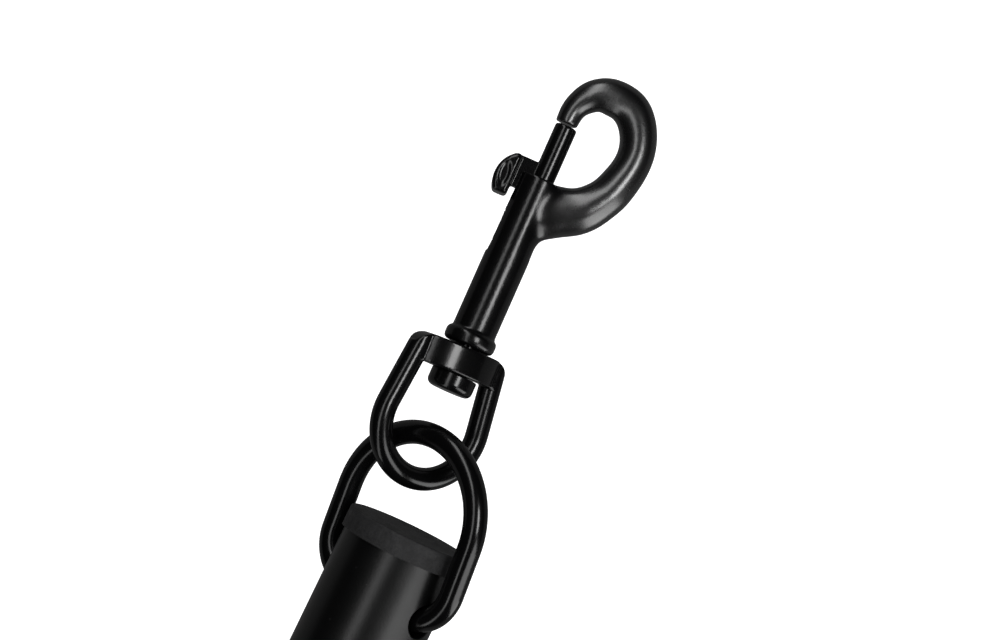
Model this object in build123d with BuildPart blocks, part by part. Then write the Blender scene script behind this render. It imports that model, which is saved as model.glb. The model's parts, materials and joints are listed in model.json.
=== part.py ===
"""Retractable leash bar: a telescoping tube with a grip, a D-ring and a swivel bolt snap."""

from build123d import *
from math import asin, atan2, cos, hypot, sin
import os

# The frame: the origin is the centre of the strap hole, +X runs along the tubes to the snap,
# +Y is to the left and +Z is up. All sizes are in millimetres.

# Handle tube, grip and end cap
rear_tube_od = 19.0
rear_tube_wall = 1.2
rear_tube_start = 12.0
rear_tube_end = 300.0
grip_length = 120.0
grip_od = 29.0
grip_waist = 27.6
grip_bands = 6
grip_end_band = 6.0
grip_edge_r = 1.5
strap_hole_r = 3.0
lug_thickness = 7.0
lug_radius = 6.8
cap_flange = 4.0
spigot_length = 18.0
cap_inset = 0.6
cap_edge_r = 1.2
lug_edge_r = 1.2
lug_reach = 9.0
pin_d = 3.0
end_pin_x = 22.0
plug_pin_x = 287.0
pin_length = 18.8

# Front tube, its rubber cap and the collar that guides the handle tube
front_tube_od = 25.4
front_tube_wall = 1.5
front_tube_start = 146.0
front_tube_length = 200.0
ring_hole_d = 7.4
ring_hole_back = 10.2
ring_hole_edge_r = 0.25
cap_od = 26.8
cap_thickness = 4.5
cap_spigot = 5.6
cap_wall = 2.0
cap_rim_r = 0.5
collar_od = 29.0
collar_start = 140.0
collar_end = 168.0
collar_lip = 3.0
collar_gap = 0.3
collar_edge_r = 1.0
bush_flange = 3.0
bush_length = 20.0
running_gap = 0.05
screw_x = 157.0
screw_d = 3.0
screw_head_d = 5.6
screw_reach = 4.9
screw_head_depth = 1.4
screw_sink = 0.2
screw_socket = 2.0
screw_socket_depth = 0.9

# Twist lock on the front end of the handle tube
plug_length = 20.0
plug_flange = 3.0
stud_d = 8.0
stud_start = 291.0
stud_end = 327.0
stud_chamfer = 0.8
sleeve_start = 303.3
sleeve_end = 322.0
sleeve_od = 22.2
sleeve_bore_r = 4.15
cone_start = 306.0
cone_end = 322.0
cone_rear_r = 8.6
cone_front_r = 10.2
cone_gap = 0.1
cone_lead = 1.0
key_root = 6.0
key_top = 10.8
key_width = 1.8
key_inset = 1.0
slit_width = 2.0
slit_root = 4.5
nut_start = 323.0
nut_flats = 13.0

# D-ring: a bent wire whose straight side lies in the tube's cross holes
ring_roll = -36.2
ring_pitch = 8.8
ring_wire_d = 5.0
ring_half_width = 17.1
ring_reach = 35.4
ring_corner_r = 8.3
ring_gap = 1.4
ring_slack_side = -0.25
ring_slack_back = -0.5

# Swivel eye: a cast U with a drilled bar
eye_at = Vector(50.25, 6.95, -2.87)
eye_yaw = 3.84
eye_pitch = 4.5
eye_roll = 32.0
eye_wire_d = 4.8
eye_half_width = 9.6
eye_reach = 25.8
eye_bow_r = 11.46
eye_bar_height = 5.8
eye_bar_rear = 2.9
eye_face_r = 13.0
eye_bar_corner_r = 4.6
eye_boss_r = 5.6
eye_bar_edge_r = 0.3
eye_hole_r = 3.7

# Bolt snap: barrel, hook, sliding bolt and swivel rivet, along the snap's own axis
snap_at = Vector(55.65, 6.25, -3.47)
snap_yaw = 1.96
snap_pitch = 6.5
barrel_r = 4.65
barrel_end = 35.4
bead_r = 5.5
bead_rear = -2.0
bead_front = 0.9
bead_edge_r = 1.0
bore_r = 2.5
bore_end = 3.0
bore_side = -0.35
bore_overrun = 4.0
slot_width = 3.0
slot_end = 17.8
tip_at = 48.2
hook_root_lean = 0.2
hook_stations = [
    # along the axis, to the right of it, width in the hook's plane, depth across it
    (29.0, 0.8, 13.6, 7.4),
    (29.6, 3.0, 12.6, 7.8),
    (30.3, 5.0, 11.5, 8.2),
    (31.2, 7.1, 10.6, 8.5),
    (33.1, 10.2, 9.7, 8.7),
    (35.8, 12.5, 8.9, 8.7),
    (39.3, 14.4, 8.4, 8.7),
    (44.3, 15.7, 7.9, 8.4),
    (49.0, 15.7, 7.8, 8.1),
    (53.0, 14.2, 8.0, 7.9),
    (55.9, 11.8, 8.2, 7.7),
    (57.2, 8.6, 8.0, 7.5),
    (57.0, 5.2, 7.6, 7.1),
    (55.3, 2.3, 6.6, 6.5),
    (53.4, 0.95, 5.8, 5.9),
    (51.5, 0.25, 5.2, 5.4),
    (49.8, 0.05, 4.9, 5.1),
    (tip_at, 0.0, 4.7, 5.0),
]
bolt_r = 2.35
bolt_rear = 22.0
bolt_front = 47.8
bolt_edge_r = 0.5
neck_rear = 31.8
neck_front = 38.5
neck_thickness = 2.5
neck_reach = 7.3
pad_inner = 5.4
pad_outer = 9.5
pad_rear = 29.4
pad_shoulder = 8.4
pad_brow = 6.6
pad_crown = 33.4
pad_depth = 6.4
pad_corner_r = 0.8
pad_edge_r = 0.9
spring_wire_d = 0.5
spring_coils = 9
spring_gap = 0.1
rivet_r = 2.4
rivet_head_r = 4.9
rivet_head_rear = -12.2
rivet_head_front = -8.7
rivet_end = 2.0
rivet_head_edge_r = 1.4

front_tube_end = front_tube_start + front_tube_length
hinge = Vector(front_tube_end - ring_hole_back, 0, 0)
rear_bore_r = rear_tube_od / 2 - rear_tube_wall
front_bore_r = front_tube_od / 2 - front_tube_wall
grip_end = rear_tube_start + grip_length
eye_width = 2 * eye_half_width + eye_wire_d


def placed(origin, *turns):
    """A plane at a point, turned by each (x, y, z) rotation in order about its own axes."""
    spot = Location(origin)
    for turn in turns:
        spot = spot * Location((0, 0, 0), turn)
    return Plane(spot)


def disc(x, outer_r, inner_r=0.0):
    """A disc or ring across the tube axis at x."""
    with BuildSketch(Plane.YZ.offset(x)) as section:
        Circle(outer_r)
        if inner_r:
            Circle(inner_r, mode=Mode.SUBTRACT)
    return section.sketch


ring_plane = placed(hinge, (ring_roll, 0, 0), (0, -ring_pitch, 0))
eye_plane = placed(hinge + eye_at, (0, 0, eye_yaw), (0, eye_pitch, 0), (eye_roll, 0, 0))
snap_plane = placed(hinge + snap_at, (0, 0, snap_yaw), (0, snap_pitch, 0))
across_snap = Plane(snap_plane.origin, x_dir=snap_plane.y_dir, z_dir=snap_plane.x_dir)
snap_axis = Axis(snap_plane.origin, snap_plane.x_dir)
eye_axis = Axis(eye_plane.origin, eye_plane.x_dir)
bolt_plane = Plane(snap_plane.location * Location((0, bore_side, 0)))
across_bolt = Plane(bolt_plane.origin, x_dir=bolt_plane.y_dir, z_dir=bolt_plane.x_dir)
across_eye = Plane(eye_plane.origin, x_dir=eye_plane.y_dir, z_dir=eye_plane.x_dir)

os.makedirs("parts", exist_ok=True)

# Handle: tube, grip, end cap and its pin
with BuildPart() as rear_tube:
    extrude(disc(rear_tube_start, rear_tube_od / 2, rear_bore_r), amount=rear_tube_end - rear_tube_start)
    for pin_x in (end_pin_x, plug_pin_x):
        with Locations(Location((pin_x, 0, 0))):
            Cylinder(pin_d / 2, grip_od, mode=Mode.SUBTRACT)
rear_tube.part.label = "rear_tube"
export_step(rear_tube.part, "parts/rear_tube.step")

with BuildPart() as grip:
    with BuildSketch(Plane.XZ):
        with BuildLine():
            band = (grip_length - 2 * grip_end_band) / grip_bands
            first = rear_tube_start + grip_end_band
            Polyline(
                (first, grip_od / 2),
                (rear_tube_start, grip_od / 2),
                (rear_tube_start, rear_tube_od / 2),
                (grip_end, rear_tube_od / 2),
                (grip_end, grip_od / 2),
                (grip_end - grip_end_band, grip_od / 2),
            )
            for step in range(grip_bands):
                start = first + step * band
                ThreePointArc(
                    (start, grip_od / 2), (start + band / 2, grip_waist / 2), (start + band, grip_od / 2)
                )
        make_face()
    revolve(axis=Axis.X)
    for side in (0, -1):
        end_face = grip.faces().sort_by(Axis.X)[side]
        fillet(end_face.edges().sort_by(SortBy.RADIUS)[-1], grip_edge_r)
grip.part.label = "grip"
export_step(grip.part, "parts/grip.step")

with BuildPart() as end_cap:
    extrude(disc(rear_tube_start - cap_flange, grip_od / 2 - cap_inset), amount=cap_flange)
    fillet(end_cap.faces().sort_by(Axis.X)[0].edges(), cap_edge_r)
    extrude(disc(rear_tube_start, rear_bore_r), amount=spigot_length)
    with BuildSketch(Plane.XZ):
        Circle(lug_radius)
        with Locations((lug_reach / 2, 0)):
            Rectangle(lug_reach, 2 * lug_radius)
    extrude(amount=lug_thickness / 2, both=True)
    lug_rims = end_cap.edges().filter_by(GeomType.CIRCLE).group_by(SortBy.RADIUS)[1]
    fillet(lug_rims, lug_edge_r)
    with Locations(Location((0, 0, 0), (90, 0, 0))):
        Cylinder(strap_hole_r, grip_od, mode=Mode.SUBTRACT)
    with Locations(Location((end_pin_x, 0, 0))):
        Cylinder(pin_d / 2, grip_od, mode=Mode.SUBTRACT)
end_cap.part.label = "end_cap"
export_step(end_cap.part, "parts/end_cap.step")

with BuildPart() as end_cap_pin:
    with Locations(Location((end_pin_x, 0, 0))):
        Cylinder(pin_d / 2, pin_length)
end_cap_pin.part.label = "end_cap_pin"
export_step(end_cap_pin.part, "parts/end_cap_pin.step")

# Twist lock: plug, stud, nut, cone and split sleeve
with BuildPart() as stud_plug:
    extrude(disc(rear_tube_end - plug_length, rear_bore_r, stud_d / 2), amount=plug_length)
    extrude(disc(rear_tube_end, rear_tube_od / 2, stud_d / 2), amount=plug_flange)
    with Locations(Location((plug_pin_x, 0, 0))):
        Cylinder(pin_d / 2, grip_od, mode=Mode.SUBTRACT)
stud_plug.part.label = "stud_plug"
export_step(stud_plug.part, "parts/stud_plug.step")

with BuildPart() as stud_plug_pin:
    with Locations(Location((plug_pin_x, 0, 0))):
        Cylinder(pin_d / 2, pin_length)
stud_plug_pin.part.label = "stud_plug_pin"
export_step(stud_plug_pin.part, "parts/stud_plug_pin.step")

with BuildPart() as lock_stud:
    extrude(disc(stud_start, stud_d / 2), amount=stud_end - stud_start)
    chamfer(lock_stud.faces().sort_by(Axis.X)[-1].edges(), stud_chamfer)
lock_stud.part.label = "lock_stud"
export_step(lock_stud.part, "parts/lock_stud.step")

with BuildPart() as lock_nut:
    with BuildSketch(Plane.YZ.offset(nut_start)):
        RegularPolygon(nut_flats / 2, 6, major_radius=False)
        Circle(stud_d / 2, mode=Mode.SUBTRACT)
    extrude(amount=stud_end - stud_chamfer - nut_start)
lock_nut.part.label = "lock_nut"
export_step(lock_nut.part, "parts/lock_nut.step")

with BuildPart() as lock_cone:
    with BuildSketch(Plane.XZ):
        Polygon(
            (cone_start, stud_d / 2 + running_gap),
            (cone_start, cone_rear_r),
            (cone_end, cone_front_r),
            (cone_end, stud_d / 2 + running_gap),
            align=None,
        )
    revolve(axis=Axis.X)
    with Locations(Location(((cone_start + cone_end) / 2, 0, (key_root + key_top) / 2))):
        Box(cone_end - cone_start - 2 * key_inset, key_width, key_top - key_root)
lock_cone.part.label = "lock_cone"
export_step(lock_cone.part, "parts/lock_cone.step")

with BuildPart() as lock_sleeve:
    with BuildSketch(Plane.XZ):
        slope = (cone_front_r - cone_rear_r) / (cone_end - cone_start)
        Polygon(
            (sleeve_start, sleeve_bore_r),
            (sleeve_start, sleeve_od / 2),
            (sleeve_end, sleeve_od / 2),
            (sleeve_end, cone_front_r + cone_gap),
            (cone_start - cone_lead, cone_rear_r + cone_gap - slope * cone_lead),
            (cone_start - cone_lead, sleeve_bore_r),
            align=None,
        )
    revolve(axis=Axis.X)
    with Locations(Location(((sleeve_start + sleeve_end) / 2, 0, slit_root + sleeve_od / 2))):
        Box(2 * (sleeve_end - sleeve_start), slit_width, sleeve_od, mode=Mode.SUBTRACT)
lock_sleeve.part.label = "lock_sleeve"
export_step(lock_sleeve.part, "parts/lock_sleeve.step")

# Front tube with its collar, guide bush and screws
with BuildPart() as front_tube:
    extrude(disc(front_tube_start, front_tube_od / 2, front_bore_r), amount=front_tube_length)
    with Locations(ring_plane.location * Location((0, 0, 0), (90, 0, 0))):
        Cylinder(ring_hole_d / 2, 2 * front_tube_od, mode=Mode.SUBTRACT)
    tube_skin = front_tube.faces().filter_by(GeomType.CYLINDER).sort_by(SortBy.AREA)[-1]
    fillet(tube_skin.edges().filter_by(GeomType.CIRCLE, reverse=True), ring_hole_edge_r)
    with Locations(Location((screw_x, 0, 0), (90, 0, 0))):
        Cylinder(screw_d / 2, 2 * front_tube_od, mode=Mode.SUBTRACT)
front_tube.part.label = "front_tube"
export_step(front_tube.part, "parts/front_tube.step")

with BuildPart() as front_cap:
    extrude(disc(front_tube_end - cap_spigot, front_bore_r, front_bore_r - cap_wall), amount=cap_spigot)
    extrude(disc(front_tube_end, cap_od / 2), amount=cap_thickness)
    fillet(front_cap.faces().sort_by(Axis.X)[-1].edges(), cap_rim_r)
front_cap.part.label = "front_cap"
export_step(front_cap.part, "parts/front_cap.step")

with BuildPart() as collar:
    extrude(disc(collar_start, collar_od / 2, front_tube_od / 2), amount=collar_end - collar_start)
    extrude(disc(collar_start, collar_od / 2, rear_tube_od / 2 + collar_gap), amount=collar_lip)
    rims = collar.edges().filter_by(GeomType.CIRCLE).group_by(SortBy.RADIUS)[-1]
    fillet(rims, collar_edge_r)
    with Locations(Location((screw_x, 0, 0), (90, 0, 0))):
        Cylinder(screw_d / 2, 2 * collar_od, mode=Mode.SUBTRACT)
    for side in (-1, 1):
        with BuildSketch(Plane((screw_x, side * collar_od / 2, 0), z_dir=(0, -side, 0))):
            Circle(screw_head_d / 2)
        extrude(amount=screw_head_depth, mode=Mode.SUBTRACT)
collar.part.label = "collar"
export_step(collar.part, "parts/collar.step")

with BuildPart() as guide_bush:
    bush_start = front_tube_start - bush_flange
    extrude(disc(bush_start, front_tube_od / 2, rear_tube_od / 2 + running_gap), amount=bush_flange)
    extrude(disc(front_tube_start, front_bore_r, rear_tube_od / 2 + running_gap), amount=bush_length)
    with Locations(Location((screw_x, 0, 0), (90, 0, 0))):
        Cylinder(screw_d / 2, 2 * front_tube_od, mode=Mode.SUBTRACT)
guide_bush.part.label = "guide_bush"
export_step(guide_bush.part, "parts/guide_bush.step")

with BuildPart() as collar_screws:
    for side in (-1, 1):
        with BuildSketch(Plane((screw_x, side * (collar_od / 2 - screw_head_depth), 0), z_dir=(0, side, 0))):
            Circle(screw_head_d / 2)
        extrude(amount=screw_head_depth - screw_sink)
        with BuildSketch(Plane((screw_x, side * (collar_od / 2 - screw_head_depth), 0), z_dir=(0, -side, 0))):
            Circle(screw_d / 2)
        extrude(amount=screw_reach - screw_head_depth)
        with BuildSketch(Plane((screw_x, side * (collar_od / 2 - screw_sink), 0), z_dir=(0, -side, 0))):
            RegularPolygon(screw_socket / 2, 6, major_radius=False)
        extrude(amount=screw_socket_depth, mode=Mode.SUBTRACT)
collar_screws.part.label = "collar_screws"
export_step(collar_screws.part, "parts/collar_screws.step")

# D-ring: its wire sits a little off the middle of the cross holes, as its slack lets it
with BuildPart() as d_ring:
    straight = ring_reach - ring_half_width
    corner = ring_half_width - ring_corner_r
    slack = Location((ring_slack_back, -ring_slack_side, 0))
    with BuildLine(Plane(ring_plane.location * slack)) as ring_path:
        Line((0, ring_gap / 2), (0, corner))
        RadiusArc((0, corner), (ring_corner_r, ring_half_width), ring_corner_r)
        Line((ring_corner_r, ring_half_width), (straight, ring_half_width))
        ThreePointArc((straight, ring_half_width), (ring_reach, 0), (straight, -ring_half_width))
        Line((straight, -ring_half_width), (ring_corner_r, -ring_half_width))
        RadiusArc((ring_corner_r, -ring_half_width), (0, -corner), ring_corner_r)
        Line((0, -corner), (0, -ring_gap / 2))
    with BuildSketch(Plane(ring_path.line @ 0, z_dir=ring_path.line % 0)):
        Circle(ring_wire_d / 2)
    sweep()
d_ring.part.label = "d_ring"
export_step(d_ring.part, "parts/d_ring.step")

# Swivel eye: two arms and a bow of round bar, closed by a drilled cross bar
with BuildPart() as swivel_eye:
    with BuildSketch(across_eye.offset(-eye_bar_rear)):
        with Locations((0, eye_boss_r - eye_face_r)):
            Circle(eye_face_r)
        with Locations((0, eye_face_r - eye_boss_r)):
            Circle(eye_face_r, mode=Mode.INTERSECT)
    extrude(amount=eye_bar_height)
    for end in (0, -1):
        fillet(swivel_eye.faces().sort_by(eye_axis)[end].edges(), eye_bar_edge_r)
    with BuildSketch(across_eye.offset(-eye_bar_rear)):
        with Locations((eye_half_width, 0), (-eye_half_width, 0)):
            Circle(eye_wire_d / 2)
    extrude(amount=eye_bar_height)
    with BuildSketch(eye_plane):
        Rectangle(2 * eye_bar_height, 4 * eye_half_width)
        with Locations((eye_bar_height - eye_bar_rear - eye_reach, 0)):
            RectangleRounded(2 * eye_reach, eye_width, eye_bar_corner_r, mode=Mode.SUBTRACT)
    extrude(amount=2 * eye_boss_r, both=True, mode=Mode.SUBTRACT)
    centre_x = eye_bow_r - eye_reach
    to_centre = hypot(centre_x, eye_half_width)
    arm_length = (to_centre**2 - eye_bow_r**2) ** 0.5
    arm_turn = atan2(-eye_half_width, centre_x) - asin(eye_bow_r / to_centre)
    arm_x = arm_length * cos(arm_turn)
    arm_y = eye_half_width + arm_length * sin(arm_turn)
    with BuildLine(eye_plane) as eye_path:
        Line((0, eye_half_width), (arm_x, arm_y))
        ThreePointArc((arm_x, arm_y), (-eye_reach, 0), (arm_x, -arm_y))
        Line((arm_x, -arm_y), (0, -eye_half_width))
    with BuildSketch(Plane(eye_path.line @ 0, z_dir=eye_path.line % 0)):
        Circle(eye_wire_d / 2)
    sweep()
    with BuildSketch(across_eye.offset(-eye_bar_height)):
        Circle(eye_hole_r)
    extrude(amount=2 * eye_bar_height, mode=Mode.SUBTRACT)
swivel_eye.part.label = "swivel_eye"
export_step(swivel_eye.part, "parts/swivel_eye.step")

# Bolt snap body: barrel and bead, hook, then the bolt's bore, its slot and the rivet's socket
with BuildPart() as snap_body:
    with BuildSketch(across_snap.offset(bead_rear)):
        Circle(bead_r)
    extrude(amount=bead_front - bead_rear)
    fillet(snap_body.edges().filter_by(GeomType.CIRCLE), bead_edge_r)
    with BuildSketch(across_snap):
        Circle(barrel_r)
    extrude(amount=barrel_end)
    with BuildLine(snap_plane):
        root_heading = snap_plane.x_dir * hook_root_lean - snap_plane.y_dir
        hook_centres = [(along, -side) for along, side, width, depth in hook_stations]
        hook_line = Spline(*hook_centres, tangents=(root_heading, -snap_plane.x_dir))
    for along, side, width, depth in hook_stations:
        here = snap_plane.from_local_coords(Vector(along, -side, 0))
        heading = hook_line.tangent_at(hook_line.param_at_point(here))
        with BuildSketch(Plane(here, x_dir=heading.cross(snap_plane.z_dir), z_dir=heading)):
            Ellipse(width / 2, depth / 2)
    loft()
    with BuildSketch(across_bolt.offset(bore_end)):
        Circle(bore_r)
    extrude(amount=barrel_end + bore_overrun - bore_end, mode=Mode.SUBTRACT)
    with BuildSketch(snap_plane):
        with Locations(((slot_end + barrel_end + bore_overrun) / 2, barrel_r)):
            Rectangle(barrel_end + bore_overrun - slot_end, 2 * barrel_r)
    extrude(amount=slot_width / 2, both=True, mode=Mode.SUBTRACT)
    with BuildSketch(across_snap.offset(bead_rear)):
        Circle(rivet_r)
    extrude(amount=rivet_end - bead_rear, mode=Mode.SUBTRACT)
snap_body.part.label = "snap_body"
export_step(snap_body.part, "parts/snap_body.step")

with BuildPart() as snap_bolt:
    with BuildSketch(snap_plane) as pad_outline:
        with BuildLine():
            Line((neck_front, pad_inner), (pad_rear, pad_inner))
            Line((pad_rear, pad_inner), (pad_rear, pad_shoulder))
            ThreePointArc((pad_rear, pad_shoulder), (pad_crown, pad_outer), (neck_front, pad_brow))
            Line((neck_front, pad_brow), (neck_front, pad_inner))
        make_face()
        fillet(pad_outline.vertices(), pad_corner_r)
    extrude(amount=pad_depth / 2, both=True)
    fillet(snap_bolt.edges().filter_by(Axis(snap_plane.origin, snap_plane.z_dir), reverse=True), pad_edge_r)
    with BuildSketch(snap_plane):
        with Locations(((neck_rear + neck_front) / 2, neck_reach / 2)):
            Rectangle(neck_front - neck_rear, neck_reach)
    extrude(amount=neck_thickness / 2, both=True)
    with BuildSketch(across_bolt.offset(bolt_rear)):
        Circle(bolt_r)
    extrude(amount=bolt_front - bolt_rear)
    for end in (0, -1):
        fillet(snap_bolt.faces().sort_by(snap_axis)[end].edges(), bolt_edge_r)
snap_bolt.part.label = "snap_bolt"
export_step(snap_bolt.part, "parts/snap_bolt.step")

with BuildPart() as bolt_spring:
    with BuildLine():
        spring_length = bolt_rear - bore_end - spring_wire_d - 2 * spring_gap
        spring_r = bore_r - spring_wire_d / 2 - spring_gap
        seat = across_bolt.offset(bore_end + spring_wire_d / 2 + spring_gap).origin
        coil = Helix(spring_length / spring_coils, spring_length, spring_r, seat, snap_plane.x_dir)
    with BuildSketch(Plane(coil @ 0, z_dir=coil % 0)):
        Circle(spring_wire_d / 2)
    sweep(is_frenet=True)
bolt_spring.part.label = "bolt_spring"
export_step(bolt_spring.part, "parts/bolt_spring.step")

with BuildPart() as swivel_rivet:
    with BuildSketch(across_snap.offset(rivet_head_rear)):
        Circle(rivet_head_r)
    extrude(amount=rivet_head_front - rivet_head_rear)
    fillet(swivel_rivet.faces().sort_by(snap_axis)[0].edges(), rivet_head_edge_r)
    with BuildSketch(across_snap.offset(rivet_head_front)):
        Circle(rivet_r)
    extrude(amount=rivet_end - rivet_head_front)
swivel_rivet.part.label = "swivel_rivet"
export_step(swivel_rivet.part, "parts/swivel_rivet.step")
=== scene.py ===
"""Retractable leash bar: finishes, cast pieces, stage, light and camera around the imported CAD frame."""

import json
from math import copysign, cos, hypot, pi, radians, sin

import bpy
from bpy.props import FloatProperty, FloatVectorProperty, PointerProperty
from bpy.types import Operator, Panel, PropertyGroup
from mathutils import Matrix, Vector


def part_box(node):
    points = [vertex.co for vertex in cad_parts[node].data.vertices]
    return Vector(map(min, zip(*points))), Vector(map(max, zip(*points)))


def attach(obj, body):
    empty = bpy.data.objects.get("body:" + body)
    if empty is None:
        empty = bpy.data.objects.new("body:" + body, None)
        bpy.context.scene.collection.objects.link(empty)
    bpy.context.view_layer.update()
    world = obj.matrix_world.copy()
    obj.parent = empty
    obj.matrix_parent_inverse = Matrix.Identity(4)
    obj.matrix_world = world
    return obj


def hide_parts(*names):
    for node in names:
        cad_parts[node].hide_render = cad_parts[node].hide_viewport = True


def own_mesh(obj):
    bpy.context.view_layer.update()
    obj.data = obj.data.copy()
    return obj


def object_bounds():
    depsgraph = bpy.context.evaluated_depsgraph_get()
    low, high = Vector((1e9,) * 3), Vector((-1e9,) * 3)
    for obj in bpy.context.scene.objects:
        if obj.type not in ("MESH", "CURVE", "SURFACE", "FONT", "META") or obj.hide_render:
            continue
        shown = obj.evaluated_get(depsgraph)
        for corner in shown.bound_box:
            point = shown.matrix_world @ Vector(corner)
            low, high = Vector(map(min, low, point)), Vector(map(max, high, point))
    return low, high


bl_info = {
    "name": "Retractable Leash Bar",
    "version": (1, 0, 0),
    "blender": (4, 5, 0),
    "location": "View3D > Sidebar > Leash",
    "description": "Dresses the leash bar's frame with its finishes and cast pieces",
    "category": "Object",
}

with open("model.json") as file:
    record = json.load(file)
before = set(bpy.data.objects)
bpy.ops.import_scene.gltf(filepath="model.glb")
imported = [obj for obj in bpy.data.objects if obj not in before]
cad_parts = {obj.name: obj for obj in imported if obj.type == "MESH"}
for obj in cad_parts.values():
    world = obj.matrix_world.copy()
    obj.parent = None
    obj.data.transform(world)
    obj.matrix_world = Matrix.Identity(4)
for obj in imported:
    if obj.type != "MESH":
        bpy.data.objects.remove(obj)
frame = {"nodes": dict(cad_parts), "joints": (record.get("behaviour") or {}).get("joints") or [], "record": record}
cad_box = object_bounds()
mm = 0.001

# The strap hole is the frame's origin, +X runs along the tubes to the snap and +Z is up.
underside = cad_box[0].z
joints = {joint["name"]: joint for joint in frame["joints"]}
mounts = {mount["name"]: mount for mount in frame["record"]["mounts"]}

# The floor lies below the snap's reach, so that the ring and snap can hang without touching it.
ring_pivot = Vector(joints["ring_swing"]["pos_m"])
snap_reach = cad_box[1].x - ring_pivot.x
floor_clearance = 2 * mm
floor_height = min(underside, ring_pivot.z - snap_reach) - floor_clearance

# The snap's own frame: along its axis from the swivel, out to the knob's side, across its plane.
snap_origin = Vector(joints["swivel"]["pos_m"])
snap_along = Vector(joints["swivel"]["axis"]).normalized()
snap_across = Vector(mounts["snap_hook"]["axis"]).normalized()
snap_out = snap_across.cross(snap_along)


# ---------------------------------------------------------------- properties


class LeashFinish(PropertyGroup):
    """Colours and gloss of the finishes."""

    coat_colour: FloatVectorProperty(
        name="Coat colour",
        description="Colour of the gloss black coat on the ring, eye and snap",
        default=(0.0022, 0.0022, 0.0024), size=3, min=0, max=1, subtype="COLOR",
    )
    coat_roughness: FloatProperty(
        name="Coat roughness",
        description="Roughness of the gloss black coat",
        default=0.18, min=0.02, max=1, subtype="FACTOR",
    )
    powder_colour: FloatVectorProperty(
        name="Powder colour",
        description="Colour of the satin powder coat on the tubes and collar",
        default=(0.0018, 0.0018, 0.0019), size=3, min=0, max=1, subtype="COLOR",
    )
    powder_roughness: FloatProperty(
        name="Powder roughness",
        description="Roughness of the satin powder coat",
        default=0.31, min=0.02, max=1, subtype="FACTOR",
    )
    rubber_colour: FloatVectorProperty(
        name="Rubber colour",
        description="Colour of the cap's and grip's rubber",
        default=(0.013, 0.013, 0.0135), size=3, min=0, max=1, subtype="COLOR",
    )


class LeashStage(PropertyGroup):
    """Camera, light and floor."""

    camera_height: FloatProperty(
        name="Camera height", description="Height of the camera above the bar's underside",
        default=0.66, min=0.1, unit="LENGTH",
    )
    lens: FloatProperty(
        name="Lens", description="Focal length on a sensor 36 mm wide",
        default=113.98, min=10, unit="CAMERA",
    )
    lean: FloatProperty(
        name="Lean", description="How far the tubes lean to the right of upright in the view",
        default=radians(25.86), subtype="ANGLE",
    )
    light_distance: FloatProperty(
        name="Light distance", description="Distance of the soft strips from the swivel eye",
        default=1.1, min=0.3, unit="LENGTH",
    )


# ---------------------------------------------------------------- sizes of the shapes and looks

# Voxel size and smoothing passes of each piece's skin, and the passes that shape it further.
body_grain = 0.25 * mm
body_passes = 2
lip_passes = 6
root_passes = 280
bend_passes = 50
bolt_grain = 0.13 * mm
bolt_passes = 8
dish_passes = 14
brow_passes = 120
eye_grain = 0.2 * mm
rivet_grain = 0.15 * mm
cast_passes = 5

# The bead and the rivet's head are drawn towards the eye's bar by this much. In mm along the
# snap, where the move starts, where it is full, where it begins to fade and where it ends.
gap_fill = 0.22 * mm
bead_rear_edge = (-9.0, -8.0, -1.7, -0.6)
rivet_front_edge = (-10.6, -9.3, -8.5, -7.5)

# Half thicknesses of the knob's pad and neck in mm, and how far from them a vertex is levelled.
knob_levels = (3.2, 1.25)
level_reach = 0.09

# The knob's dish: depth, and in mm its centre, half sizes and slant.
dish_depth = 0.3 * mm
dish_along = 33.3
dish_out = 7.5
dish_half_along = 3.2
dish_half_out = 1.35
dish_slant = 0.5
slant_from = 7.4

# The hook has a second, rougher coat, which reflects more than the first.
hook_coat_ior = 1.7

# How much duller a nick or speck is, and a nick's depth in grains of the coat.
mark_dullness = 0.25
nick_depth = 3.0

# The floor's half width, its glow to the camera, and the floor's and room's in reflections.
floor_half = 3.0
floor_glow = 0.92
floor_sheen = 0.12
room_sheen = 0.012

# The camera's place along and across the bar, and its small shift.
camera_place = (0.4170, 0.0028)
camera_shift = (-0.041, -0.088)

# Directions of each strip's two ends in degrees to the right and up the view, its width in
# degrees, and its radiance. The right row is the brighter one.
strips = (
    ("left_strip_top", (-4, 80), (-8, 26), 13, 3.2),
    ("left_strip_middle", (-8, 26), (-27, -26), 11, 2.4),
    ("left_strip_bottom", (-27, -26), (-50, -62), 12, 1.6),
    ("right_strip_top", (32, 13), (28, -10), 14, 9.5),
    ("right_strip_bottom", (27, -26), (62, -80), 24, 2.9),
)


# ---------------------------------------------------------------- node groups


def new_group(name, inputs, outputs):
    """A shader node group with float or colour sockets, and its input and output nodes."""
    group = bpy.data.node_groups.new(name, "ShaderNodeTree")
    for label, kind, value in inputs:
        socket = group.interface.new_socket(label, in_out="INPUT", socket_type=kind)
        if value is not None:
            socket.default_value = value
    for label, kind in outputs:
        group.interface.new_socket(label, in_out="OUTPUT", socket_type=kind)
    nodes = group.nodes
    return group, nodes.new("NodeGroupInput"), nodes.new("NodeGroupOutput")


def noise(tree, vector, scale, detail=2.0, rough=0.5):
    """A noise texture fed by a vector socket; scale is a socket or a number."""
    node = tree.nodes.new("ShaderNodeTexNoise")
    tree.links.new(vector, node.inputs["Vector"])
    if isinstance(scale, (int, float)):
        node.inputs["Scale"].default_value = scale
    else:
        tree.links.new(scale, node.inputs["Scale"])
    node.inputs["Detail"].default_value = detail
    node.inputs["Roughness"].default_value = rough
    return node.outputs["Fac"]


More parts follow.
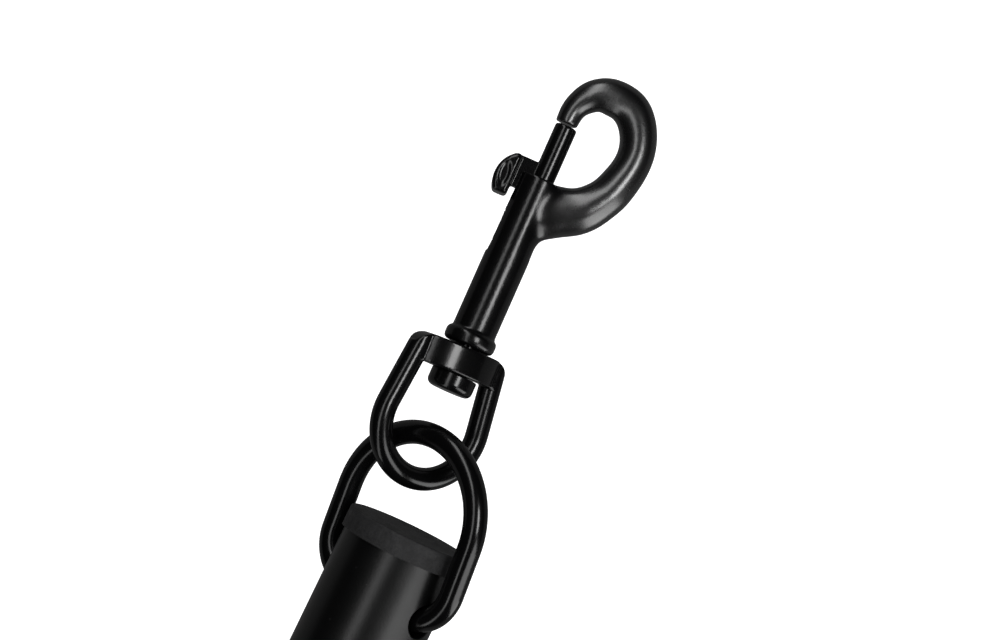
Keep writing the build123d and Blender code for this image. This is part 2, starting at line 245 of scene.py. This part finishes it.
def maths(tree, operation, first, second=0.5, third=None, clamp=False):
    """A math node; each operand is a socket or a number."""
    node = tree.nodes.new("ShaderNodeMath")
    node.operation = operation
    node.use_clamp = clamp
    for slot, value in enumerate((first, second, third)):
        if value is None:
            continue
        if isinstance(value, (int, float)):
            node.inputs[slot].default_value = value
        else:
            tree.links.new(value, node.inputs[slot])
    return node.outputs[0]


def remap(tree, value, low, high, to_low=0.0, to_high=1.0):
    """A clamped linear map of a value socket."""
    node = tree.nodes.new("ShaderNodeMapRange")
    tree.links.new(value, node.inputs["Value"])
    for slot, number in zip(("From Min", "From Max", "To Min", "To Max"), (low, high, to_low, to_high)):
        node.inputs[slot].default_value = number
    return node.outputs["Result"]


def make_grain_group():
    """Orange peel and slow waviness of a sprayed coat: a height, and a value for roughness."""
    group, given, out = new_group(
        "sprayed grain",
        [("Vector", "NodeSocketVector", None), ("Peel scale", "NodeSocketFloat", 1400.0),
         ("Wave scale", "NodeSocketFloat", 160.0), ("Wave share", "NodeSocketFloat", 0.5),
         ("Roughness", "NodeSocketFloat", 0.3), ("Spread", "NodeSocketFloat", 0.06)],
        [("Height", "NodeSocketFloat"), ("Roughness", "NodeSocketFloat")],
    )
    vector = given.outputs["Vector"]
    peel = noise(group, vector, given.outputs["Peel scale"], 3.0)
    wave = noise(group, vector, given.outputs["Wave scale"], 1.0)
    share = maths(group, "MULTIPLY", wave, given.outputs["Wave share"])
    group.links.new(maths(group, "ADD", peel, share), out.inputs["Height"])
    cloud = noise(group, vector, 240.0, 4.0)
    offset = maths(group, "MULTIPLY", maths(group, "SUBTRACT", cloud, 0.5), given.outputs["Spread"])
    total = maths(group, "ADD", offset, given.outputs["Roughness"], clamp=True)
    group.links.new(total, out.inputs["Roughness"])
    return group


def make_wear_group():
    """Sparse nicks and dust specks: a mask for each."""
    group, given, out = new_group(
        "nicks and dust",
        [("Vector", "NodeSocketVector", None), ("Nick scale", "NodeSocketFloat", 110.0),
         ("Nick size", "NodeSocketFloat", 0.035), ("Dust scale", "NodeSocketFloat", 520.0),
         ("Dust size", "NodeSocketFloat", 0.07)],
        [("Nicks", "NodeSocketFloat"), ("Dust", "NodeSocketFloat")],
    )
    for label, mask, drop in (("Nick", "Nicks", 0.84), ("Dust", "Dust", 0.8)):
        cells = group.nodes.new("ShaderNodeTexVoronoi")
        group.links.new(given.outputs["Vector"], cells.inputs["Vector"])
        group.links.new(given.outputs[label + " scale"], cells.inputs["Scale"])
        near = maths(group, "LESS_THAN", cells.outputs["Distance"], given.outputs[label + " size"])
        pick = group.nodes.new("ShaderNodeSeparateColor")
        group.links.new(cells.outputs["Color"], pick.inputs["Color"])
        chosen = maths(group, "GREATER_THAN", pick.outputs[0], drop)
        group.links.new(maths(group, "MULTIPLY", near, chosen), out.inputs[mask])
    return group


def group_node(tree, group, **values):
    """Places a group in a material with its own values."""
    node = tree.nodes.new("ShaderNodeGroup")
    node.node_tree = group
    for label, value in values.items():
        node.inputs[label.replace("_", " ")].default_value = value
    return node


# ---------------------------------------------------------------- materials


def start_material(name, colour, metallic=0.0, specular=0.5, ior=1.5):
    """A new material with a Principled shader and object coordinates."""
    material = bpy.data.materials.new(name)
    material.use_nodes = True
    tree = material.node_tree
    shader = tree.nodes["Principled BSDF"]
    shader.inputs["Base Color"].default_value = (*colour, 1)
    shader.inputs["Metallic"].default_value = metallic
    shader.inputs["IOR"].default_value = ior
    shader.inputs["Specular IOR Level"].default_value = specular
    place = tree.nodes.new("ShaderNodeTexCoord")
    return material, tree, shader, place.outputs["Object"]


def bump(tree, shader, height, distance, strength=1.0):
    """Bump from a height socket into the shader's normal."""
    node = tree.nodes.new("ShaderNodeBump")
    node.inputs["Distance"].default_value = distance
    node.inputs["Strength"].default_value = strength
    tree.links.new(height, node.inputs["Height"])
    tree.links.new(node.outputs["Normal"], shader.inputs["Normal"])


def mix_colours(tree, shader, mask, under, over):
    """Base colour that goes from one to the other with a mask."""
    node = tree.nodes.new("ShaderNodeMix")
    node.data_type = "RGBA"
    node.inputs["A"].default_value = (*under, 1)
    node.inputs["B"].default_value = (*over, 1)
    tree.links.new(mask, node.inputs["Factor"])
    tree.links.new(node.outputs["Result"], shader.inputs["Base Color"])


def hook_share(tree, place):
    """A mask that is 0 on the barrel and 1 out on the hook and its tip."""
    masks = []
    for axis, low, high in ((-snap_out, 3.0 * mm, 7.5 * mm), (snap_along, 40.0 * mm, 46.0 * mm)):
        dot = tree.nodes.new("ShaderNodeVectorMath")
        dot.operation = "DOT_PRODUCT"
        tree.links.new(place, dot.inputs[0])
        dot.inputs[1].default_value = axis
        start = snap_origin.dot(axis)
        masks.append(remap(tree, dot.outputs["Value"], start + low, start + high))
    return maths(tree, "MAXIMUM", *masks)


def coat_material(
    name, groups, colour, roughness, peel, depth, spread, chip, hook_roughness=None
):
    """A sprayed black coat with orange peel, nicks and dust; the cast one is rougher on the hook."""
    material, tree, shader, place = start_material(name, colour)
    grain = group_node(tree, groups["grain"], Peel_scale=peel, Roughness=roughness, Spread=spread)
    if hook_roughness is not None:
        share = hook_share(tree, place)
        tree.links.new(remap(tree, share, 0, 1, roughness, hook_roughness), grain.inputs["Roughness"])
        tree.links.new(share, shader.inputs["Coat Weight"])
        shader.inputs["Coat Roughness"].default_value = hook_roughness
        shader.inputs["Coat IOR"].default_value = hook_coat_ior
    wear = group_node(tree, groups["wear"])
    for node in (grain, wear):
        tree.links.new(place, node.inputs["Vector"])
    marks = maths(tree, "MAXIMUM", wear.outputs["Nicks"], wear.outputs["Dust"])
    mix_colours(tree, shader, marks, colour, chip)
    dull = maths(tree, "MULTIPLY", marks, mark_dullness)
    rough = maths(tree, "ADD", grain.outputs["Roughness"], dull, clamp=True)
    tree.links.new(rough, shader.inputs["Roughness"])
    pit = maths(tree, "MULTIPLY", wear.outputs["Nicks"], -nick_depth)
    bump(tree, shader, maths(tree, "ADD", grain.outputs["Height"], pit), depth)
    return material


def rubber_material(name, groups, colour, scale, depth, bloom):
    """Matte rubber with a fine grain and a pale bloom in patches."""
    material, tree, shader, place = start_material(name, colour, specular=0.35)
    grain = group_node(tree, groups["grain"], Peel_scale=scale, Wave_share=1.4, Roughness=0.68, Spread=0.2)
    tree.links.new(place, grain.inputs["Vector"])
    cloud = remap(tree, noise(tree, place, 420.0, 5.0, 0.65), 0.35, 0.75)
    mix_colours(tree, shader, cloud, colour, bloom)
    tree.links.new(grain.outputs["Roughness"], shader.inputs["Roughness"])
    bump(tree, shader, grain.outputs["Height"], depth)
    return material


def metal_material(name, colour, roughness, stretch, depth):
    """Bare metal with fine lines drawn along one axis."""
    material, tree, shader, place = start_material(name, colour, metallic=1.0)
    scaler = tree.nodes.new("ShaderNodeMapping")
    scaler.inputs["Scale"].default_value = stretch
    tree.links.new(place, scaler.inputs["Vector"])
    lines = noise(tree, scaler.outputs["Vector"], 3000.0, 3.0, 0.6)
    rough = remap(tree, lines, 0.2, 0.8, roughness * 0.75, roughness * 1.3)
    tree.links.new(rough, shader.inputs["Roughness"])
    stain = remap(tree, noise(tree, place, 300.0, 3.0), 0.45, 0.8)
    mix_colours(tree, shader, stain, colour, tuple(0.78 * c for c in colour))
    bump(tree, shader, lines, depth)
    return material


def plastic_material(name, groups, colour, roughness, scale, depth):
    """Moulded plastic with a fine spark-eroded texture."""
    material, tree, shader, place = start_material(name, colour, specular=0.45)
    values = {"Peel_scale": scale, "Wave_share": 0.3, "Roughness": roughness, "Spread": 0.1}
    grain = group_node(tree, groups["grain"], **values)
    tree.links.new(place, grain.inputs["Vector"])
    tone = remap(tree, noise(tree, place, 90.0, 3.0), 0.3, 0.7)
    mix_colours(tree, shader, tone, colour, tuple(min(1.0, 1.12 * c) for c in colour))
    tree.links.new(grain.outputs["Roughness"], shader.inputs["Roughness"])
    bump(tree, shader, grain.outputs["Height"], depth)
    return material


def make_materials(finish):
    """Every finish of the leash bar, by its record slot or its piece."""
    groups = {"grain": make_grain_group(), "wear": make_wear_group()}
    coat = tuple(finish.coat_colour)
    powder = tuple(finish.powder_colour)
    rubber = tuple(finish.rubber_colour)
    gloss = finish.coat_roughness
    chip = (0.03, 0.03, 0.03)
    # Lines are stretched along the drawn wire, or around the turned part.
    drawn = (0.06, 1, 1)
    turned = (1, 0.05, 0.05)
    line_depth = 0.000006
    return {
        "gloss_black": coat_material(
            "gloss coat", groups, coat, gloss, 1500.0, 0.000006, 0.06, chip),
        "cast_black": coat_material(
            "cast gloss coat", groups, coat, gloss + 0.03, 2400.0, 0.000016, 0.12, chip,
            gloss + 0.09),
        "satin_black": coat_material(
            "satin powder coat", groups, powder, finish.powder_roughness, 2200.0, 0.00001, 0.05,
            chip),
        "cap_rubber": rubber_material(
            "cap rubber", groups, rubber, 1800.0, 0.00011, tuple(2.4 * c for c in rubber)),
        "grip_rubber": rubber_material(
            "grip rubber", groups, rubber, 1500.0, 0.00008, tuple(1.4 * c for c in rubber)),
        "black_plastic": plastic_material(
            "moulded black", groups, (0.008, 0.008, 0.008), 0.42, 1900.0, 0.00003),
        "plain_steel": metal_material("drawn steel", (0.55, 0.55, 0.56), 0.28, drawn, line_depth),
        "plain_aluminium": metal_material(
            "turned aluminium", (0.72, 0.72, 0.74), 0.3, turned, line_depth),
        "lock_brass": metal_material("turned brass", (0.72, 0.53, 0.24), 0.26, turned, line_depth),
        "white_nylon": plastic_material(
            "natural nylon", groups, (0.74, 0.73, 0.68), 0.45, 1500.0, 0.00002),
    }


def finish_of(name):
    """A finish made earlier, or an error that says what is missing."""
    material = materials.get(name)
    if material is None:
        raise RuntimeError(f"the finish {name} hasn't been made")
    return material


materials = {}


def wear_finish(piece, name):
    """Gives an object one finish in all its slots."""
    slots = piece.material_slots
    if not len(slots):
        piece.data.materials.append(finish_of(name))
    for slot in slots:
        slot.material = finish_of(name)


# ---------------------------------------------------------------- mesh helpers


def add_piece(name, mesh, body, slot_name, finish, *nodes):
    """Adds a mesh as a piece that stands for CAD nodes and moves with a body."""
    piece = bpy.data.objects.new(name, mesh)
    bpy.context.scene.collection.objects.link(piece)
    mesh.materials.clear()
    mesh.materials.append(finish_of(finish))
    mesh.shade_smooth()
    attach(piece, body)
    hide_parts(*nodes)
    return piece


def settled(piece):
    """The mesh of an object with its modifiers applied."""
    bpy.context.view_layer.update()
    graph = bpy.context.evaluated_depsgraph_get()
    return bpy.data.meshes.new_from_object(piece.evaluated_get(graph))


def modified(mesh, *recipes):
    """A mesh after modifiers, each a kind, its settings and the share of each vertex or None."""
    work = bpy.data.objects.new("pattern", mesh)
    bpy.context.scene.collection.objects.link(work)
    for number, (kind, settings, shares) in enumerate(recipes):
        modifier = work.modifiers.new(kind, kind)
        for label, value in settings.items():
            setattr(modifier, label, value)
        if shares is not None:
            group = work.vertex_groups.new(name=f"share_{number}")
            for index, share in enumerate(shares):
                if share > 0:
                    group.add((index,), share, "REPLACE")
            modifier.vertex_group = group.name
    result = settled(work)
    bpy.data.objects.remove(work)
    return result


def smoothing(passes):
    """The settings of a smoothing modifier."""
    return {"factor": 0.5, "iterations": passes}


def cast_skin(node, grain, passes):
    """A CAD node's shape as one skin with softened edges, fine enough to be shaped further."""
    skin = {"mode": "VOXEL", "voxel_size": grain, "adaptivity": 0}
    recipes = ("REMESH", skin, None), ("SMOOTH", smoothing(passes), None)
    return modified(frame["nodes"][node].data.copy(), *recipes)


def snap_place(point):
    """A point's distances along, out and across the snap, in millimetres."""
    offset = point - snap_origin
    return offset.dot(snap_along) / mm, offset.dot(snap_out) / mm, offset.dot(snap_across) / mm


def ramp(value, low, high):
    """A smooth step from 0 at low to 1 at high."""
    share = min(max((value - low) / (high - low), 0), 1)
    return share * share * (3 - 2 * share)


def smoothed(mesh, passes, share_at):
    """Smooths a mesh on the snap by a share that depends on the place along, out and across."""
    shares = [share_at(*snap_place(vertex.co)) for vertex in mesh.vertices]
    return modified(mesh, ("SMOOTH", smoothing(passes), shares))


# The next four give the share of smoothing at a place on the snap, in millimetres.


def beside_slot(along, out, across):
    """All of the casting but the lips of the knob's slot, which stay crisp."""
    return 1 - ramp(along, 13.0, 16.0) * ramp(out, 1.5, 3.0)


def at_root(along, out, across):
    """The crease where the hook leaves the barrel, clear of the bore."""
    inside = ramp(along, 17.5, 22.0) * (1 - ramp(along, 33.0, 36.0))
    beside = ramp(-out, 1.0, 3.4) * (1 - ramp(-out, 8.0, 12.0))
    return inside * beside * ramp(hypot(out, across), 2.9, 3.8)


def on_hook(along, out, across):
    """The hook's bend, clear of the barrel and the tip's end."""
    return max(ramp(-out, 6.0, 9.0), ramp(along, 52.5, 55.0))


def at_brow(along, out, across):
    """The front corner where the knob's neck meets its pad."""
    return ramp(along, 36.6, 38.0) * ramp(out, 5.8, 6.8)


def level_faces(mesh, level, reach):
    """Puts the vertices of a flat face across the snap, and those within reach of it, at one level."""
    for vertex in mesh.vertices:
        across = snap_place(vertex.co)[2]
        if abs(abs(across) - level) < reach:
            vertex.co += snap_across * (copysign(level, across) - across) * mm
    mesh.update()


def dish_knob(mesh):
    """Presses a shallow dish with a raised rim into both faces of the knob."""
    for vertex in mesh.vertices:
        along, out, across = snap_place(vertex.co)
        lead = along - dish_along - dish_slant * (out - slant_from)
        reach = hypot(lead / dish_half_along, (out - dish_out) / dish_half_out)
        face = ramp(abs(across), 1.9, 2.6)
        push = dish_depth * (1 - ramp(reach, 0.5, 1.0)) * face
        vertex.co -= snap_across * push * copysign(1, across)
    mesh.update()


def pull_along(mesh, edge, push):
    """Moves one edge of a piece along the snap; edge is where the move starts, is full and ends."""
    start, full, fading, end = edge
    for vertex in mesh.vertices:
        along = snap_place(vertex.co)[0]
        vertex.co += snap_along * push * ramp(along, start, full) * (1 - ramp(along, fading, end))
    mesh.update()


# ---------------------------------------------------------------- operators


class LEASH_OT_finishes(Operator):
    """Makes every finish and gives the CAD nodes theirs."""

    bl_idname = "leash.finishes"
    bl_label = "Finishes"

    def execute(self, context):
        materials.update(make_materials(context.scene.leash_finish))
        for part in frame["record"]["subparts"]:
            wear_finish(frame["nodes"][part["node"]], part["material_slot"])
        return {"FINISHED"}


def check_mesh(mesh, name):
    """Stops the script when a piece came out empty."""
    if not mesh.polygons:
        raise RuntimeError(f"{name} came out empty")


class LEASH_OT_snap(Operator):
    """Casts the snap's barrel and hook in one skin with a filleted root."""

    bl_idname = "leash.snap"
    bl_label = "Snap"

    def execute(self, context):
        mesh = cast_skin("snap_body", body_grain, body_passes)
        for passes, place in (
            (lip_passes, beside_slot), (root_passes, at_root), (bend_passes, on_hook),
        ):
            mesh = smoothed(mesh, passes, place)
        pull_along(mesh, bead_rear_edge, -gap_fill)
        check_mesh(mesh, "snap")
        add_piece("snap_casting", mesh, "snap", "gloss_black", "cast_black", "snap_body")
        return {"FINISHED"}


class LEASH_OT_bolt(Operator):
    """Makes the sliding bolt with its dished thumb knob."""

    bl_idname = "leash.bolt"
    bl_label = "Bolt"

    def execute(self, context):
        mesh = cast_skin("snap_bolt", bolt_grain, bolt_passes)
        for level in knob_levels:
            level_faces(mesh, level, level_reach)
        dish_knob(mesh)
        mesh = modified(mesh, ("SMOOTH", smoothing(dish_passes), None))
        mesh = smoothed(mesh, brow_passes, at_brow)
        check_mesh(mesh, "bolt")
        add_piece("bolt_and_knob", mesh, "bolt", "gloss_black", "gloss_black", "snap_bolt")
        return {"FINISHED"}


class LEASH_OT_spring(Operator):
    """Gives the bolt's spring its own copy of the CAD mesh, moving with the snap."""

    bl_idname = "leash.spring"
    bl_label = "Spring"

    def execute(self, context):
        mesh = frame["nodes"]["bolt_spring"].data.copy()
        check_mesh(mesh, "spring")
        spring = add_piece("coil_spring", mesh, "snap", "plain_steel", "plain_steel", "bolt_spring")
        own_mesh(spring)
        return {"FINISHED"}


class LEASH_OT_swivel(Operator):
    """Makes the swivel eye and the rivet that it turns on."""

    bl_idname = "leash.swivel"
    bl_label = "Swivel"

    def execute(self, context):
        for node, body, grain in (
            ("swivel_eye", "swivel_eye", eye_grain),
            ("swivel_rivet", "snap", rivet_grain),
        ):
            mesh = cast_skin(node, grain, cast_passes)
            if node == "swivel_rivet":
                pull_along(mesh, rivet_front_edge, gap_fill)
            check_mesh(mesh, node)
            add_piece("cast_" + node, mesh, body, "gloss_black", "gloss_black", node)
        return {"FINISHED"}


class LEASH_OT_stage(Operator):
    """Makes the pale floor, the soft strips and the camera."""

    bl_idname = "leash.stage"
    bl_label = "Stage"

    def execute(self, context):
        stage = context.scene.leash_stage
        make_floor(floor_height)
        make_world(context.scene)
        make_lights(stage)
        make_camera(context.scene, stage)
        return {"FINISHED"}


def make_floor(height):
    """A wide pale floor that stays white and keeps out of the gloss."""
    mesh = bpy.data.meshes.new("floor")
    half = floor_half
    sides = ((-half, -half), (half, -half), (half, half), (-half, half))
    corners = [(x, y, height) for x, y in sides]
    mesh.from_pydata(corners, [], [(0, 1, 2, 3)])
    floor = bpy.data.objects.new("floor", mesh)
    bpy.context.scene.collection.objects.link(floor)
    material, tree, shader, _ = start_material("pale floor", (0.8, 0.8, 0.8))
    shader.inputs["Roughness"].default_value = 0.9
    shader.inputs["Specular IOR Level"].default_value = 0.1
    path = tree.nodes.new("ShaderNodeLightPath")
    glow = tree.nodes.new("ShaderNodeEmission")
    glow.inputs["Strength"].default_value = floor_glow
    dim = tree.nodes.new("ShaderNodeEmission")
    dim.inputs["Strength"].default_value = floor_sheen
    both = tree.nodes.new("ShaderNodeAddShader")
    seen = tree.nodes.new("ShaderNodeMixShader")
    gloss = tree.nodes.new("ShaderNodeMixShader")
    out = tree.nodes["Material Output"]
    tree.links.new(shader.outputs["BSDF"], both.inputs[0])
    tree.links.new(glow.outputs[0], both.inputs[1])
    tree.links.new(path.outputs["Is Camera Ray"], seen.inputs[0])
    tree.links.new(shader.outputs["BSDF"], seen.inputs[1])
    tree.links.new(both.outputs[0], seen.inputs[2])
    tree.links.new(path.outputs["Is Glossy Ray"], gloss.inputs[0])
    tree.links.new(seen.outputs[0], gloss.inputs[1])
    tree.links.new(dim.outputs[0], gloss.inputs[2])
    tree.links.new(gloss.outputs[0], out.inputs["Surface"])
    mesh.materials.append(material)


def make_world(scene):
    """A white room for the camera that is dim in reflections."""
    world = bpy.data.worlds.new("room")
    world.use_nodes = True
    scene.world = world
    tree = world.node_tree
    tree.nodes.clear()
    path = tree.nodes.new("ShaderNodeLightPath")
    room = tree.nodes.new("ShaderNodeBackground")
    dark = tree.nodes.new("ShaderNodeBackground")
    room.inputs["Color"].default_value = (1, 1, 1, 1)
    dark.inputs["Color"].default_value = (room_sheen, room_sheen, room_sheen, 1)
    mix = tree.nodes.new("ShaderNodeMixShader")
    out = tree.nodes.new("ShaderNodeOutputWorld")
    tree.links.new(path.outputs["Is Camera Ray"], mix.inputs[0])
    tree.links.new(dark.outputs[0], mix.inputs[1])
    tree.links.new(room.outputs[0], mix.inputs[2])
    tree.links.new(mix.outputs[0], out.inputs["Surface"])
    scene.view_settings.view_transform = "Standard"
    scene.view_settings.look = "None"


def view_axes(stage):
    """The view's right and up directions on the floor."""
    lean = stage.lean
    return Vector((sin(lean), -cos(lean), 0)), Vector((cos(lean), sin(lean), 0))


def towards(stage, across, along):
    """The direction that leans from straight up by degrees to the right and up the view."""
    right, up = view_axes(stage)
    tilt = radians(hypot(across, along))
    if tilt == 0:
        return Vector((0, 0, 1))
    flat = (right * across + up * along) / hypot(across, along)
    return flat * sin(tilt) + Vector((0, 0, 1)) * cos(tilt)


def strip_light(stage, name, start, end, width, glow):
    """A soft strip between two directions; width is in degrees and glow is its radiance."""
    eye_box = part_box("swivel_eye")
    centre = (eye_box[0] + eye_box[1]) / 2
    reach = stage.light_distance
    near = centre + towards(stage, *start) * reach
    far = centre + towards(stage, *end) * reach
    length = (far - near).length
    breadth = 2 * reach * sin(radians(width) / 2)
    along = (far - near).normalized()
    back = ((near + far) / 2 - centre).normalized()
    side = back.cross(along)
    lamp = bpy.data.lights.new(name, "AREA")
    lamp.shape = "RECTANGLE"
    lamp.size = length
    lamp.size_y = breadth
    lamp.energy = glow * pi * length * breadth
    light = bpy.data.objects.new(name, lamp)
    turn = Matrix((along, side, back)).transposed().to_4x4()
    light.matrix_world = Matrix.Translation((near + far) / 2) @ turn
    bpy.context.scene.collection.objects.link(light)


def make_lights(stage):
    """Two rows of soft strips, the right one brighter."""
    for name, start, end, width, glow in strips:
        strip_light(stage, name, start, end, width, glow)


def make_camera(scene, stage):
    """The camera, straight above the eye and snap, turned so that the tubes lean."""
    lens = bpy.data.cameras.new("camera")
    lens.sensor_width = 36
    lens.lens = stage.lens
    lens.shift_x, lens.shift_y = camera_shift
    lens.clip_start = 0.01
    lens.dof.use_dof = False
    camera = bpy.data.objects.new("camera", lens)
    camera.location = (*camera_place, underside + stage.camera_height)
    camera.rotation_euler = (0, 0, stage.lean - pi / 2)
    scene.collection.objects.link(camera)
    scene.camera = camera


class LEASH_PT_panel(Panel):
    """Lists the leash bar's pieces and its settings."""

    bl_label = "Leash bar"
    bl_idname = "LEASH_PT_panel"
    bl_space_type = "VIEW_3D"
    bl_region_type = "UI"
    bl_category = "Leash"

    def draw(self, context):
        for operator in steps:
            self.layout.operator(operator.bl_idname)
        for group in (context.scene.leash_finish, context.scene.leash_stage):
            for name in group.__annotations__:
                self.layout.prop(group, name)


steps = (
    LEASH_OT_finishes, LEASH_OT_snap, LEASH_OT_bolt, LEASH_OT_spring, LEASH_OT_swivel,
    LEASH_OT_stage,
)
classes = (LeashFinish, LeashStage, *steps, LEASH_PT_panel)


def register():
    """Registers the classes and their settings."""
    for cls in classes:
        bpy.utils.register_class(cls)
    bpy.types.Scene.leash_finish = PointerProperty(type=LeashFinish)
    bpy.types.Scene.leash_stage = PointerProperty(type=LeashStage)


def unregister():
    """Removes the settings and the classes."""
    del bpy.types.Scene.leash_stage
    del bpy.types.Scene.leash_finish
    for cls in reversed(classes):
        bpy.utils.unregister_class(cls)


def main():
    """Builds the whole scene."""
    register()
    bpy.ops.leash.finishes()
    bpy.ops.leash.snap()
    bpy.ops.leash.bolt()
    bpy.ops.leash.spring()
    bpy.ops.leash.swivel()
    bpy.ops.leash.stage()


if __name__ == "__main__":
    main()
